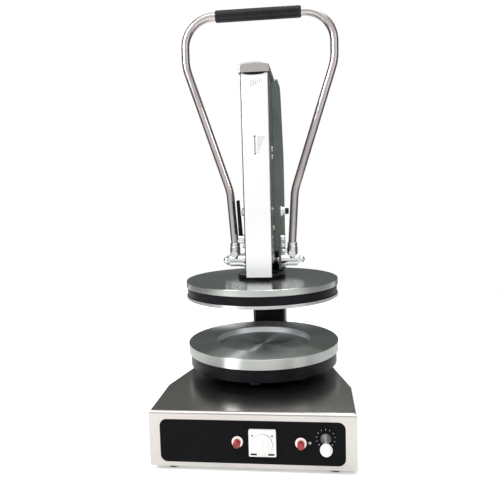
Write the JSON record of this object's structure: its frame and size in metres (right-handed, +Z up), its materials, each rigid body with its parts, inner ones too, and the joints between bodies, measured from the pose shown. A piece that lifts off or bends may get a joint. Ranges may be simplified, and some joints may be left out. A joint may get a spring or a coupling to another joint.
{
  "type": "pizza dough press",
  "caption": "Bench press that flattens balls of pizza dough between a fixed heated platen and an upper one driven down by a swinging loop handle.",
  "frame": {"origin": "on the bench, below the middle of the press's bounding box", "axes": "+X to the viewer's right, +Y to the rear, +Z up; the control panel faces -Y"},
  "size_m": [0.37, 0.587, 0.901],
  "materials": {
    "brushed_stainless": "brushed stainless sheet with a fine satin grain",
    "polished_steel": "turned and polished steel, nearly mirror bright",
    "bright_panel": "satin anodised aluminium sheet",
    "dark_band": "satin black enamelled sheet",
    "black_paint": "semi-gloss black powder coat",
    "grey_green_enamel": "smooth grey-green enamel",
    "black_film": "printed polyester film, satin black",
    "chrome": "bright chrome plate",
    "zinc_steel": "zinc plated steel",
    "machine_steel": "ground machine steel, lightly oiled",
    "bronze": "sintered bronze",
    "heater_sheath": "heat-tinted steel sheath",
    "black_rubber": "black rubber",
    "black_grip": "smooth black grip sleeve",
    "black_plastic": "black moulded plastic",
    "white_plastic": "white moulded plastic",
    "lamp_white": "glossy white bezel",
    "red_lens": "translucent red lens",
    "brown_phenolic": "brown moulded phenolic"
  },
  "bodies": {
    "frame": {"base_shell": "brushed_stainless", "bottom_cover": "zinc_steel", "cover_screws": "zinc_steel", "rubber_feet": "black_rubber", "panel_overlay": "black_film", "lamp_bezels": "lamp_white", "lamp_lenses": "red_lens", "lamp_bodies": "black_plastic", "timer_case": "white_plastic", "thermostat": "brown_phenolic", "terminal_block": "brown_phenolic", "contactor": "black_plastic", "cable_gland": "black_plastic", "support_channel": "zinc_steel", "left_frame_plate": "grey_green_enamel", "right_frame_plate": "grey_green_enamel", "column_cover": "black_paint", "rear_cover": "brushed_stainless", "head_housing": "brushed_stainless", "front_panel": "bright_panel", "top_cap": "brushed_stainless", "housing_spacers": "zinc_steel", "guide_blocks": "machine_steel", "guide_bushes": "bronze", "guide_screws": "zinc_steel", "frame_bolts": "chrome", "shaft_bearings": "bronze", "through_bolt": "chrome", "bolt_cap": "black_plastic", "stop_pin": "chrome", "gas_spring_body": "machine_steel", "depth_stop_arm": "machine_steel", "lock_stud": "zinc_steel", "lower_platen": "polished_steel", "lower_shroud": "dark_band", "lower_heater": "heater_sheath", "platen_posts": "zinc_steel", "platen_bolts": "zinc_steel"},
    "upper_platen": {"press_plate": "polished_steel", "upper_shroud": "dark_band", "upper_cover": "polished_steel", "upper_heater": "heater_sheath", "hub": "black_paint", "hub_core": "zinc_steel", "hub_bolts": "zinc_steel", "rack_shaft": "machine_steel", "crosshead": "machine_steel", "gas_spring_rod": "machine_steel", "stop_collar": "machine_steel"},
    "handle": {"handle_tube": "chrome", "grip_sleeve": "black_grip", "knuckles": "chrome", "knuckle_hardware": "chrome", "cross_shaft": "machine_steel", "sector_gear": "machine_steel"},
    "clamp_lever": {"lever_hub": "chrome", "lever_arm": "black_paint"},
    "knob": {"knob_neck": "chrome", "knob_ball": "white_plastic"},
    "timer_dial": {"timer_dial": "white_plastic"}
  },
  "joints": [
    {"name": "handle_swing", "type": "hinge", "parent": "frame", "child": "handle", "pos_m": [0, 0.0915, 0.342], "axis": [1, 0, 0], "range_deg": [0, 110]},
    {"name": "platen_slide", "type": "slide", "parent": "frame", "child": "upper_platen", "axis": [0, 0, -1], "range_m": [0, 0.096], "stiffness_N_per_m": 400, "springref_m": -0.5},
    {"name": "clamp_lever_turn", "type": "hinge", "parent": "frame", "child": "clamp_lever", "pos_m": [-0.05, 0.0765, 0.392], "axis": [1, 0, 0], "range_deg": [0, 60]},
    {"name": "knob_turn", "type": "hinge", "parent": "frame", "child": "knob", "pos_m": [0.1305, -0.239, 0.068], "axis": [0, -1, 0], "range_deg": [0, 270]},
    {"name": "timer_dial_turn", "type": "hinge", "parent": "frame", "child": "timer_dial", "pos_m": [0.0203, -0.244, 0.0585], "axis": [0, -1, 0], "range_deg": [0, 300]}
  ],
  "couplings": [
    {"joint": "platen_slide", "follows": "handle_swing", "m_per_rad": 0.05}
  ]
}
